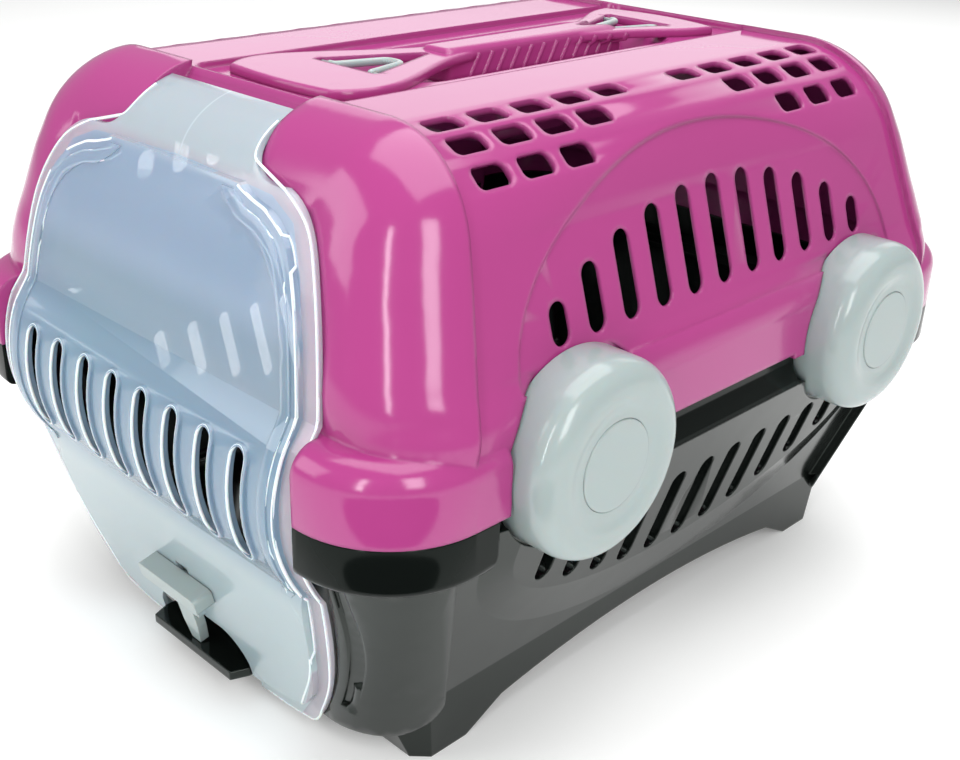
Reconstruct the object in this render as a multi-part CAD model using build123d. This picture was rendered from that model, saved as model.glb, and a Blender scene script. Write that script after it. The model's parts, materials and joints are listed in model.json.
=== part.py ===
from build123d import *
import math
import os

# Pet carrier: dark tub, pink hood, clear front door, four round side locks.
# X is across the carrier, -Y is the front with the door, +Z is up, the feet stand on z = 0.

# Overall sizes
bumper_half_width = 189.0
bumper_half_length = 248.5
bumper_corner_radius = 55.0
shell_wall = 3.0
fit_gap = 0.4
door_gap = 0.8

# Heights of the two shells
tub_bottom_z = 38.0
ledge_z = 152.0
band_bottom_z = 139.0
seam_z = 164.5
side_seam_z = 170.5
middle_seam_z = 173.5
middle_seam_half_length = 60.0
lip_top_z = 176.0
bumper_top_z = 202.0
roof_z = 321.4

# Hood section across the carrier
shoulder_radius = 63.0
shoulder_centre_x = 99.9
wall_lean_deg = 17.7
wall_foot_z = 224.0
flare_end_z = 199.0
hood_side_x = 185.0
pillar_proud = 3.5
pillar_crease_top_y = 165.0
pillar_crease_slope = 0.2157
hood_edge_radius = 45.0
bumper_edge_radius = 14.0

# Front line of the carrier seen from the side, on the outer face of the door
door_top = (-177.0, 319.5)
window_line = [(-191.5, 313.8), (-203.0, 304.0), (-212.0, 286.0), (-219.5, 266.0), (-226.5, 237.0)]
window_foot = (-231.5, 206.0)
hood_front_top = (-193.0, 330.0)
bulge_top = (-240.0, 194.5)
bulge_front = (-247.0, 160.0)
bulge_foot = (-232.7, 116.5)
panel_foot_z = -2.0
panel_lean = 0.2375
panel_ref = (-230.0, 105.0)

# Door
door_wall = 2.6
tongue_half_width = 51.0
neck_half_width = 54.5
neck_z = 304.0
shoulder_start = (82.0, 295.5)
door_shoulder = [(103.0, 284.0), (116.0, 264.0), (124.5, 238.0)]
door_half_width = 130.5
door_side_top_z = 200.0
door_side_foot_z = 116.0
door_taper = [(119.0, 62.0), (102.0, 28.0)]
door_corner = (90.0, 12.0)
door_chin_side = (48.0, 6.0)
door_chin_z = 4.0
field_inset = 10.5
field_rise = 3.2
field_top_z = 293.0
bead_inset = 15.0
bead_width = 6.5
bead_height = 1.0
bead_foot_z = 112.0
bead_head_z = 290.0
frame_inset = 17.0
hinge_y = -179.0
hinge_z = 312.0
hinge_pin_radius = 3.0
hinge_pin_clearance = 0.1
hinge_channel_radius = 8.4
hinge_pin_length = 6.0
hinge_ear_width = 6.0
hood_opening_top_z = 297.0

# Door slots
door_slot_count = 8
door_slot_pitch = 26.5
door_slot_width = 11.5
door_slot_rim = 1.8
door_slot_rim_height = 1.8
door_slot_top_z = 187.5
door_slot_bottom_z = 130.0

# Side slots
side_slot_count = 11
side_slot_pitch = 25.2
side_slot_width = 12.0
upper_slot_bottom_z = 227.7
upper_slot_top_z = 281.5
upper_slot_drop = 1.35
lower_slot_top_z = 127.2
lower_slot_bottom_z = 71.0
lower_slot_rise = 1.2
side_arch_half_length = 158.0
side_arch_foot_z = 215.0
side_arch_height = 90.0
side_arch_depth = 1.3

# Roof vents
vent_length = 21.0
vent_width = 12.0
vent_pitch = 28.4
vent_outer_y = 144.5
vent_rows = [(78.4, 5), (63.0, 4), (45.8, 3)]

# Tub
panel_x = 176.5
panel_z = 127.2
side_lean = 0.323
column_proud = 4.0
tub_half_length = 226.6
tub_length_z = 105.0
tub_corner_radius = 46.0
tub_edge_radius = 14.0
panel_edge_y = 177.0
panel_edge_z = 53.0
panel_edge_slope = 0.25
skirt_half_width = 144.5
skirt_half_length = 201.0
skirt_top_z = 46.0
skirt_chamfer = 20.0
foot_half_width = 141.4
foot_front_y = -181.0
foot_rear_y = 187.0
foot_chamfer = 8.0
foot_inner_x = 104.0
foot_length = 33.0
foot_pad = 3.0
foot_top_z = 30.0
foot_arch_slope = 0.55
foot_arch_z = 14.0
foot_arch_top_z = 26.0
band_end_y = 179.0
band_end_radius = 10.0
band_step = 7.0
column_bottom_z = 18.5
column_inner_x = 88.0
column_foot_radius = 22.0
groove_offset = 6.5
groove_width = 8.0
groove_depth = 2.0
groove_bottom_z = 38.0
field_depth = 4.0
field_centre_z = 130.0
field_half_length = 155.0
field_drop = 64.0
field_border_side = 20.0
field_border_drop = 33.0
tub_opening_half_width = 108.0
tub_opening_low_half_width = 88.0
tub_opening_bottom_z = 58.0
ledge_wall_x = 178.0
shelf_top_z = 164.0

# Catch lip under the latch
lip_half_width = 40.5
lip_front_y = -223.0
lip_side_y = -213.0
lip_z = 20.5
lip_depth = 5.0
notch_gap = 1.5
notch_top_z = 40.0

# Latch
latch_bar_half_width = 27.0
latch_bar_height = 10.0
latch_bar_depth = 12.0
latch_bar_low = 61.0
latch_tongue_half_width = 8.0
latch_tongue_depth = 5.0
latch_tip_half_width = 4.0
latch_stem_half_width = 5.0
latch_stem_low = 50.0
latch_stem_high = 66.0
latch_guide_width = 2.5
latch_gap = 0.4
latch_travel = 8.0
latch_tip_gap = 0.4

# Round side locks
lock_y = 120.8
lock_z = 177.6
lock_radius = 50.0
lock_back_x = 176.6
lock_face_x = 207.5
lock_rim_wall = 3.0
lock_crest_radius = 36.0
lock_edge_x = 194.0
lock_boss_length = 8.0
lock_well_x = 176.0
lock_well_gap = 1.5
lock_shaft_radius = 6.0
lock_running_gap = 0.06
hub_radius = 22.9
hub_face_x = 206.0
hub_cap_thickness = 3.0
lug_inner_radius = 25.0
lug_outer_radius = 33.0
lug_half_angle_deg = 32.0
ledge_inner_radius = 17.0
ledge_outer_radius = 24.5
ledge_half_angle_deg = 28.0
screw_radius = 2.0
screw_head_radius = 4.5
screw_head_height = 3.0
washer_radius = 10.0
washer_thickness = 1.6

# Handle
plateau_z = 318.0
plateau_half_width = 57.0
plateau_front_y = -163.0
plateau_rear_y = 173.0
handle_top_z = 323.0
grip_top_z = 325.5
grip_bottom_z = 306.0
grip_front_y = -44.0
grip_rear_y = 104.0
grip_half_width = 11.5
handle_line = [
    (40, -150),
    (50, -126),
    (43, -100),
    (25, -65),
    (12.5, -28),
    (11, 20),
    (12.5, 66),
    (25, 106),
    (40, 134),
    (44, 152),
]
handle_front_y = -153.0
handle_rear_y = 160.0
well_z = 305.0
well_half_width = 44.0
well_slope = 14.0
well_front_y = -98.0
well_rear_y = 128.0
pocket_z = 280.0
pocket_half_width = 32.0
pocket_front_y = -34.0
pocket_rear_y = 98.0
ring_hole_base = 26.0
ring_hole_front_y = -108.0
ring_hole_apex_y = -50.0
ring_hole_rear_y = 134.0
ring_hole_rear_apex_y = 76.0
ring_tube_radius = 2.1
ring_pin_radius = 1.4
ring_pin_clearance = 0.06
ring_half_width = 14.0
ring_tip_half_width = 6.0
ring_length = 30.0
ring_foot_length = 4.0
ring_pin_length = 9.0
handle_screw_x = 30.0
handle_screw_rows = (-138.0, 146.0)
handle_screw_hole_radius = 2.3


def xz_prism(face, y_from, y_to):
    # A face drawn in x and z, pulled along Y
    return extrude(Plane.XZ.offset(-y_from) * face, amount=y_from - y_to)


def yz_prism(face, x_from, x_to):
    # A face drawn in y and z, pulled along X
    return extrude(Plane.YZ.offset(x_from) * face, amount=x_to - x_from)


def xy_prism(face, z_from, z_to):
    return extrude(Plane.XY.offset(z_from) * face, amount=z_to - z_from)


def closed_face(*edges):
    return make_face(Curve() + list(edges))


def displaced(points, distance):
    # Points moved square to the line through their neighbours, towards the inside of the carrier
    moved = []
    for index, (y, z) in enumerate(points):
        before = points[max(index - 1, 0)]
        after = points[min(index + 1, len(points) - 1)]
        run_y = after[0] - before[0]
        run_z = after[1] - before[1]
        length = math.hypot(run_y, run_z)
        moved.append((y - run_z * distance / length, z + run_y * distance / length))
    return moved


def panel_y(z):
    return panel_ref[0] + (panel_ref[1] - z) * panel_lean


def front_line(inward):
    # Side view of the door's outer face, moved inward by a distance
    upper = displaced([door_top] + window_line + [window_foot], inward)
    start, *middle, foot = upper
    top_out = (bulge_top[0] + inward, bulge_top[1] + inward * 0.4)
    front = (bulge_front[0] + inward, bulge_front[1])
    low = (bulge_foot[0] + inward, bulge_foot[1])
    chin = (panel_y(panel_foot_z) + inward, panel_foot_z)
    return start, chin, [
        Spline(start, *middle, foot),
        Line(foot, top_out),
        ThreePointArc(top_out, front, low),
        Line(low, chin),
    ]


def door_outline(grow=0.0):
    # Front view of the door: tongue, neck, shoulders, straight sides, tapered foot, rounded chin
    tongue = tongue_half_width + grow
    side = door_half_width + grow
    tongue_top_z = 330.0
    tongue_foot = (tongue, 316.0)
    neck = (neck_half_width + grow, neck_z)
    shoulder = (shoulder_start[0] + grow, shoulder_start[1] + grow * 0.8)
    rise = [0.6, 0.3, 0.0]
    bend = [(x + grow, z + grow * share) for (x, z), share in zip(door_shoulder, rise)]
    corner = (door_corner[0] + grow * 0.8, door_corner[1] - grow)
    half = closed_face(
        Line((tongue, tongue_top_z), tongue_foot),
        Spline(tongue_foot, neck, shoulder),
        Spline(shoulder, *bend, (side, door_side_top_z)),
        Line((side, door_side_top_z), (side, door_side_foot_z)),
        Spline((side, door_side_foot_z), *[(x + grow, z) for x, z in door_taper], corner),
        ThreePointArc(corner, (door_chin_side[0], door_chin_side[1] - grow), (0, door_chin_z - grow)),
        Line((0, door_chin_z - grow), (0, tongue_top_z)),
        Line((0, tongue_top_z), (tongue, tongue_top_z)),
    )
    return half + mirror(half, Plane.YZ)


def door_layer(inner, outer):
    # A slice of space between two parallel copies of the front line, wide enough for the door
    top_a, chin_a, line_a = front_line(outer)
    top_b, chin_b, line_b = front_line(inner)
    face = closed_face(*line_a, Line(chin_a, chin_b), *line_b, Line(top_b, top_a))
    reach = door_half_width + 20
    return yz_prism(face, -reach, reach)


def hood_section(grow):
    # Half of the hood's cut across the carrier, then both halves
    lean = math.radians(wall_lean_deg)
    radius = shoulder_radius + grow
    centre_z = roof_z - shoulder_radius
    side = hood_side_x + grow
    top = (shoulder_centre_x, centre_z + radius)
    middle_angle = (math.pi / 2 + lean) / 2
    middle = (
        shoulder_centre_x + radius * math.cos(middle_angle),
        centre_z + radius * math.sin(middle_angle),
    )
    tangent = (shoulder_centre_x + radius * math.cos(lean), centre_z + radius * math.sin(lean))
    foot = (tangent[0] + (tangent[1] - wall_foot_z) * math.tan(lean), wall_foot_z)
    half = closed_face(
        Line((0, top[1]), top),
        ThreePointArc(top, middle, tangent),
        Line(tangent, foot),
        Spline(foot, (side, flare_end_z), tangents=[(math.tan(lean), -1), (0, -1)]),
        Line((side, flare_end_z), (side, seam_z - 20)),
        Line((side, seam_z - 20), (0, seam_z - 20)),
        Line((0, seam_z - 20), (0, top[1])),
    )
    return half + mirror(half, Plane.YZ)


def hood_side_view(inward, top):
    # Side view of the hood, the same front and rear
    behind_door = door_wall + door_gap - 0.6
    line = displaced([hood_front_top] + window_line[1:] + [window_foot], behind_door + inward)
    start, *middle, foot = line
    low = (foot[0], seam_z - 20)
    lean = (middle[0][0] - start[0], middle[0][1] - start[1])
    front = [Spline(start, *middle, foot, tangents=[lean, (0, -1)]), Line(foot, low)]
    face = closed_face(
        *front,
        Line(low, (0, low[1])),
        Line((0, low[1]), (0, start[1])),
        Line((0, start[1]), start),
    )
    face = face & (Pos(0, top / 2) * Rectangle(2 * bumper_half_length, top))
    return face + mirror(face, Plane.YZ)


def belt(half_width, half_length, radius, z_from, z_to):
    return xy_prism(RectangleRounded(2 * half_width, 2 * half_length, radius), z_from, z_to)


def pillar_zone(sign):
    # The space in front of the slanted crease, or behind it at the rear
    low_z = 100.0
    high_z = 345.0
    crease = [(pillar_crease_top_y + (roof_z - z) * pillar_crease_slope, z) for z in (low_z, high_z)]
    far = bumper_half_length + 20
    face = make_face(
        Polyline(
            (sign * crease[0][0], low_z),
            (sign * crease[1][0], high_z),
            (sign * far, high_z),
            (sign * far, low_z),
            close=True,
        )
    )
    return yz_prism(face, -220, 220)


def hood_body(grow, inward, radius):
    # The domed part of the hood, with its front and rear edges rounded
    top = roof_z + max(grow, 0) + 10
    reach = bumper_half_length
    body = xz_prism(hood_section(grow), -reach, reach) & yz_prism(hood_side_view(inward, top), -220, 220)
    rim = [edge for edge in body.edges() if is_end_rim(edge)]
    return fillet(rim, radius)


def is_end_rim(edge):
    # The outline of the front and rear faces, without their level lines below the roof
    level = edge.bounding_box().size.Z < 0.1
    return abs(edge.center().Y) > 180 and not (level and edge.center().Z < roof_z - 20)


def door_zone(depth, side):
    # The space that the door fills and passes through, kept clear of both shells
    top, chin, line = front_line(depth)
    valley = (hinge_y + hinge_channel_radius, hinge_z + 1.5)
    step = (plateau_front_y, 340)
    far = -bumper_half_length - 50
    face = closed_face(
        *line,
        Line(chin, (far, chin[1])),
        Line((far, chin[1]), (far, 340)),
        Line((far, 340), step),
        Line(step, (step[0] - 1.5, roof_z)),
        Line((step[0] - 1.5, roof_z), valley),
        Line(valley, top),
    )
    reach = door_half_width + 20
    return yz_prism(face, -reach, reach) & xz_prism(door_outline(side), far, plateau_front_y)


def end_zones(start_y, z_from, z_to):
    # Everything beyond a distance from the middle, at both ends
    length = 400
    blocks = [
        Pos(0, sign * (start_y + length / 2), (z_from + z_to) / 2) * Box(500, length, z_to - z_from)
        for sign in (-1, 1)
    ]
    return blocks[0] + blocks[1]


def middle_zone(end_y, z_from, z_to):
    return Pos(0, 0, (z_from + z_to) / 2) * Box(500, 2 * end_y, z_to - z_from)


def x_cylinder(radius, x_from, x_to, y, z):
    return Pos((x_from + x_to) / 2, y, z) * Rot(0, 90, 0) * Cylinder(radius, x_to - x_from)


def lock_places():
    return [(sign_x, sign_y) for sign_x in (1, -1) for sign_y in (-1, 1)]


def at_lock(solid, sign_x, sign_y):
    # Moves a solid made for the right side, on the axis through the origin, to one lock
    if sign_x < 0:
        solid = mirror(solid, Plane.YZ)
    return Pos(0, sign_y * lock_y, lock_z) * solid


def lock_well():
    radius = lock_radius + lock_well_gap
    return x_cylinder(radius, lock_well_x, lock_well_x + 60, 0, 0)


def lock_backing():
    radius = lock_radius + lock_well_gap + shell_wall
    return x_cylinder(radius, lock_well_x - shell_wall, lock_well_x + 1, 0, 0)


def door_slots(half_width, low, high, y_from, y_to):
    height = high - low
    slot = xz_prism(SlotOverall(height, 2 * half_width, rotation=90), y_from, y_to)
    centres = [(index - (door_slot_count - 1) / 2) * door_slot_pitch for index in range(door_slot_count)]
    return Compound([Pos(x, 0, (low + high) / 2) * slot for x in centres]).solids()


def side_slots(bottoms_and_tops, x_from, x_to):
    cuts = []
    for index, (low, high) in enumerate(bottoms_and_tops):
        y = (index - (side_slot_count - 1) / 2) * side_slot_pitch
        slot = yz_prism(SlotOverall(high - low, side_slot_width, rotation=90), x_from, x_to)
        cuts.append(Pos(0, y, (low + high) / 2) * slot)
        cuts.append(mirror(cuts[-1], Plane.YZ))
    return cuts


def slot_steps():
    return [abs(index - (side_slot_count - 1) / 2) for index in range(side_slot_count)]


def side_arch():
    # The shallow arched field round the upper side slots, cut to an even depth
    face = Pos(0, side_arch_foot_z) * Ellipse(side_arch_half_length, side_arch_height)
    face &= Pos(0, side_arch_foot_z + 100) * Rectangle(400, 200)
    return yz_prism(face, -220, 220) - hood_body(-side_arch_depth, side_arch_depth, hood_edge_radius)


def hood_vents():
    # Rows of vents round the shoulders, four groups, each hole square to the surface
    centre_z = roof_z - shoulder_radius
    depth = 24
    cuts = []
    for angle, count in vent_rows:
        hole = Rot(0, 90 - angle, 0) * Pos(0, 0, shoulder_radius) * extrude(
            RectangleRounded(vent_width, vent_length, 4), amount=depth / 2, both=True
        )
        for index in range(count):
            y = vent_outer_y - index * vent_pitch
            for sign in (-1, 1):
                cut = Pos(shoulder_centre_x, sign * y, centre_z) * hole
                cuts += [cut, mirror(cut, Plane.YZ)]
    return cuts


def roof_well(grow):
    # A trough with sloping sides under the handle, and the deeper hand pocket in its floor
    centre_y = (well_front_y + well_rear_y) / 2
    half_length = (well_rear_y - well_front_y) / 2 + grow
    floor = well_z - grow
    low = Pos(0, centre_y, floor) * RectangleRounded(
        2 * (well_half_width - well_slope + grow), 2 * (half_length - well_slope), 16
    )
    high = Pos(0, centre_y, roof_z + 4) * RectangleRounded(
        2 * (well_half_width + 4 + grow), 2 * (half_length + 4), 26
    )
    pocket_y = (pocket_front_y + pocket_rear_y) / 2
    pocket_length = pocket_rear_y - pocket_front_y + 2 * grow
    pocket = Pos(0, pocket_y, 0) * xy_prism(
        RectangleRounded(2 * (pocket_half_width - 4 + grow), pocket_length, 12), pocket_z - grow, well_z + 1
    )
    return loft([low, high], ruled=True) + pocket


def hood():
    outer = hood_body(0, 0, hood_edge_radius)
    pillars = hood_body(pillar_proud, 0, hood_edge_radius + pillar_proud)
    for sign in (-1, 1):
        outer += pillars & pillar_zone(sign)
    bumper = belt(bumper_half_width, bumper_half_length, bumper_corner_radius, seam_z - 8, bumper_top_z)
    bumper = fillet(bumper.faces().sort_by(Axis.Z)[-1].edges(), bumper_edge_radius)
    outer += bumper & end_zones(band_end_y - band_step, 0, 400)

    inner = hood_body(-shell_wall, shell_wall, hood_edge_radius - shell_wall)
    hollow = belt(
        bumper_half_width - shell_wall,
        bumper_half_length - shell_wall,
        bumper_corner_radius - shell_wall,
        seam_z - 12,
        bumper_top_z - shell_wall,
    )
    hollow = fillet(hollow.faces().sort_by(Axis.Z)[-1].edges(), bumper_edge_radius - shell_wall)
    inner += hollow & end_zones(band_end_y - 4, 0, 400)
    inner -= door_zone(door_wall + door_gap + shell_wall, door_gap + shell_wall)

    shell = outer - inner
    plateau_length = plateau_rear_y - plateau_front_y
    plateau_y = (plateau_front_y + plateau_rear_y) / 2
    plateau = Pos(0, plateau_y, 0) * xy_prism(
        RectangleRounded(2 * plateau_half_width, plateau_length, 10), plateau_z, roof_z + 20
    )
    backing = Pos(0, plateau_y, 0) * xy_prism(
        RectangleRounded(2 * (plateau_half_width + 4), plateau_length + 8, 12),
        plateau_z - shell_wall,
        roof_z,
    )
    hinge_pad = Pos(0, hinge_y - 3, hinge_z - 4) * Box(2 * (tongue_half_width + 15), 34, 20)
    inside = backing + hinge_pad + (roof_well(shell_wall) & middle_zone(400, 0, roof_z))
    for sign_x, sign_y in lock_places():
        boss = x_cylinder(lock_shaft_radius + 6, lock_well_x - lock_boss_length, lock_well_x, 0, 0)
        inside += at_lock(lock_backing() + boss, sign_x, sign_y)
    shell += inside & outer

    shell -= plateau
    shell -= roof_well(0)
    shell -= door_zone(door_wall + door_gap, door_gap)
    shell -= x_cylinder(
        hinge_channel_radius, -tongue_half_width - door_gap, tongue_half_width + door_gap, hinge_y, hinge_z
    )
    pin_reach = tongue_half_width + hinge_pin_length + 0.6
    shell -= x_cylinder(hinge_pin_radius + hinge_pin_clearance, -pin_reach, pin_reach, hinge_y, hinge_z)
    window = xz_prism(door_outline(-frame_inset), -bumper_half_length - 50, -bumper_half_length + 90)
    shell -= window & (Pos(0, 0, hood_opening_top_z - 150) * Box(500, 900, 300))
    for sign_x, sign_y in lock_places():
        hole = x_cylinder(lock_shaft_radius + lock_running_gap, lock_well_x - 20, lock_well_x + 60, 0, 0)
        shell -= at_lock(lock_well() + hole, sign_x, sign_y)
    shell -= side_arch()
    shell -= hood_vents()
    tops = [upper_slot_top_z - upper_slot_drop * step**2 for step in slot_steps()]
    shell -= side_slots([(upper_slot_bottom_z, top) for top in tops], 120, 220)
    shell -= screw_holes(handle_screw_places(), handle_screw_hole_radius, plateau_z - 10, plateau_z + 1)
    shell -= middle_zone(400, 0, seam_z)
    shell -= middle_zone(band_end_y - band_step, 0, side_seam_z)
    shell -= middle_zone(middle_seam_half_length, 0, middle_seam_z)
    return shell


def handle_screw_places():
    return [(sign * handle_screw_x, y) for sign in (-1, 1) for y in handle_screw_rows]


def screw_holes(places, radius, z_from, z_to):
    return [Pos(x, y, (z_from + z_to) / 2) * Cylinder(radius, z_to - z_from) for x, y in places]


def tub_half_width(z):
    return panel_x + column_proud + (z - panel_z) * side_lean


def tub_half_depth(z):
    return tub_half_length + (z - tub_length_z) * panel_lean


def tapered_tub(z_from, z_to, inset_x, inset_y, radius):
    sections = [
        Pos(0, 0, z)
        * RectangleRounded(2 * (tub_half_width(z) - inset_x), 2 * (tub_half_depth(z) - inset_y), radius)
        for z in (z_from, z_to)
    ]
    return loft(sections, ruled=True)


def panel_surface(z):
    return panel_x + (z - panel_z) * side_lean


def slotted_field():
    # The raised field that holds the side slots, its lower edge an arc with a sloping border
    outward = Vector(1, 0, -side_lean)
    origin = (panel_surface(field_centre_z), 0, field_centre_z)
    face_plane = Plane(origin=origin, x_dir=(0, 1, 0), z_dir=outward)
    sections = []
    for depth in (field_depth + 1, 0):
        share = depth / field_depth
        half_length = field_half_length + field_border_side * share
        drop = field_drop + field_border_drop * share
        top = 40.0
        outline = Ellipse(half_length, drop) & (Pos(0, -drop / 2) * Rectangle(2 * half_length, drop))
        outline += Pos(0, top / 2) * Rectangle(2 * half_length, top)
        sections.append(face_plane.offset(-depth) * outline)
    return loft(sections, ruled=True)


def panel_recess(sign):
    # The side panel lies behind the corner columns, and the slotted field stands up from it
    low_z, high_z = column_bottom_z - 10, ledge_z + 10
    reach = 250
    low = (panel_surface(low_z) - field_depth, low_z)
    high = (panel_surface(high_z) - field_depth, high_z)
    outline = Polyline(low, (reach, low_z), (reach, high_z), high, close=True)
    slab = xz_prism(make_face(outline), -260, 260)
    edge_low = ridge_y(low_z)
    edge_high = ridge_y(high_z)
    corners = [(-edge_low, low_z), (edge_low, low_z), (edge_high, high_z), (-edge_high, high_z)]
    width = yz_prism(make_face(Polyline(*corners, close=True)), 0, 260)
    recess = (slab & width) - slotted_field()
    return recess if sign > 0 else mirror(recess, Plane.YZ)


def ridge_y(z):
    # Where the corner column ends along the side
    return panel_edge_y + (z - panel_edge_z) * panel_edge_slope


def column_zone(sign):
    # Side view of a corner column below the floor, its lower inner corner rounded
    top_z = skirt_top_z + 12
    radius = column_foot_radius
    start_z = column_bottom_z + radius
    edge = ridge_y(start_z)
    share = 1 - math.sqrt(0.5)
    far = bumper_half_length
    face = closed_face(
        Line((ridge_y(top_z), top_z), (edge, start_z)),
        ThreePointArc(
            (edge, start_z),
            (edge + radius * share, column_bottom_z + radius * share),
            (edge + radius, column_bottom_z),
        ),
        Line((edge + radius, column_bottom_z), (far, column_bottom_z)),
        Line((far, column_bottom_z), (far, top_z)),
        Line((far, top_z), (ridge_y(top_z), top_z)),
    )
    zone = yz_prism(face, column_inner_x, 220)
    zone += mirror(zone, Plane.YZ)
    return zone if sign > 0 else mirror(zone, Plane.XZ)


def column_feet():
    # The corner columns run on below the floor as open shells
    top_z = tub_bottom_z + tub_edge_radius + 2
    form = tapered_tub(column_bottom_z, top_z, 0, 0, tub_corner_radius)
    form -= tapered_tub(column_bottom_z - 1, top_z + 1, shell_wall, shell_wall, tub_corner_radius - shell_wall)
    return (form & column_zone(1)) + (form & column_zone(-1))


def skirt(inset):
    middle_y = (foot_front_y + foot_rear_y) / 2
    foot_half_length = (foot_rear_y - foot_front_y) / 2
    low = Rectangle(2 * (foot_half_width - inset), 2 * (foot_half_length - inset))
    low = chamfer(low.vertices(), foot_chamfer)
    high = Rectangle(2 * (skirt_half_width - inset), 2 * (skirt_half_length - inset))
    high = chamfer(high.vertices(), skirt_chamfer)
    return loft([Pos(0, middle_y, 0) * low, Pos(0, middle_y, skirt_top_z) * high], ruled=True)


def foot_arch():
    # The space between the front and rear feet, seen from the side
    front = foot_front_y + foot_length
    rear = foot_rear_y - foot_length
    run = foot_arch_z / foot_arch_slope
    face = closed_face(
        Line((front, -1), (front, 0)),
        Line((front, 0), (front + run, foot_arch_z)),
        ThreePointArc((front + run, foot_arch_z), (0, foot_arch_top_z), (rear - run, foot_arch_z)),
        Line((rear - run, foot_arch_z), (rear, 0)),
        Line((rear, 0), (rear, -1)),
        Line((rear, -1), (front, -1)),
    )
    return yz_prism(face, -250, 250)


def level_block(half_x, front_y, rear_y, z_from, z_to):
    centre = Pos(0, (front_y + rear_y) / 2, (z_from + z_to) / 2)
    return centre * Box(2 * half_x, rear_y - front_y, z_to - z_from)


def feet_and_skirt():
    # A wall round the underside that ends in a hollow foot at each corner
    outer = skirt(0)
    inner = skirt(shell_wall)
    reach = 300
    front = foot_front_y + foot_length
    rear = foot_rear_y - foot_length
    feet = outer & level_block(reach, -reach, reach, 0, foot_top_z)
    feet -= level_block(foot_inner_x, -reach, reach, -1, foot_top_z + 1)
    feet -= level_block(reach, front, rear, -1, foot_top_z + 1)
    room = inner & level_block(reach, -reach, reach, foot_pad, foot_top_z + 1)
    room -= level_block(foot_inner_x + shell_wall, -reach, reach, 0, foot_top_z + 2)
    room -= level_block(reach, front - shell_wall, rear + shell_wall, 0, foot_top_z + 2)
    base = (outer - inner) + (feet - room)
    base -= foot_arch()
    return base - level_block(foot_inner_x, -reach, reach, -1, foot_pad + 1)


def band_zone():
    # Side view of the dark band at both ends, its lower inner corner rounded
    radius = band_end_radius
    share = 1 - math.sqrt(0.5)
    top_z = seam_z + 5
    far = bumper_half_length + 10
    face = closed_face(
        Line((band_end_y, top_z), (band_end_y, band_bottom_z + radius)),
        ThreePointArc(
            (band_end_y, band_bottom_z + radius),
            (band_end_y + radius * share, band_bottom_z + radius * share),
            (band_end_y + radius, band_bottom_z),
        ),
        Line((band_end_y + radius, band_bottom_z), (far, band_bottom_z)),
        Line((far, band_bottom_z), (far, top_z)),
        Line((far, top_z), (band_end_y, top_z)),
    )
    zone = yz_prism(face, -220, 220)
    return zone + mirror(zone, Plane.XZ)


def shelf():
    # The sloping shelf between the locks, under the edge of the hood
    face = make_face(
        Polyline(
            (ledge_wall_x - 2, ledge_z - 4),
            (panel_surface(ledge_z - 4), ledge_z - 4),
            (panel_surface(ledge_z), ledge_z),
            (ledge_wall_x, shelf_top_z),
            (ledge_wall_x - 2, shelf_top_z),
            close=True,
        )
    )
    end_y = lock_y - lock_radius - lock_well_gap
    wedge = xz_prism(face, -end_y, end_y)
    return wedge + mirror(wedge, Plane.YZ)


def column_groove():
    # A narrow upright groove beside each edge of the door
    front = -bumper_half_length - 20
    inner = door_outline(groove_offset)
    strip = xz_prism(door_outline(groove_offset + groove_width) - inner, front, -150)
    strip &= Pos(0, 0, (groove_bottom_z + band_bottom_z) / 2) * Box(500, 600, band_bottom_z - groove_bottom_z)
    body = tapered_tub(column_bottom_z, ledge_z, groove_depth, groove_depth, tub_corner_radius - groove_depth)
    return strip - body


def catch_lip():
    half = lip_half_width
    face = make_face(
        Polyline(
            (-half, -180),
            (-half, lip_side_y),
            (-half + 4, lip_front_y),
            (half - 4, lip_front_y),
            (half, lip_side_y),
            (half, -180),
            close=True,
        )
    )
    return xy_prism(face, lip_z - lip_depth, lip_z)


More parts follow.
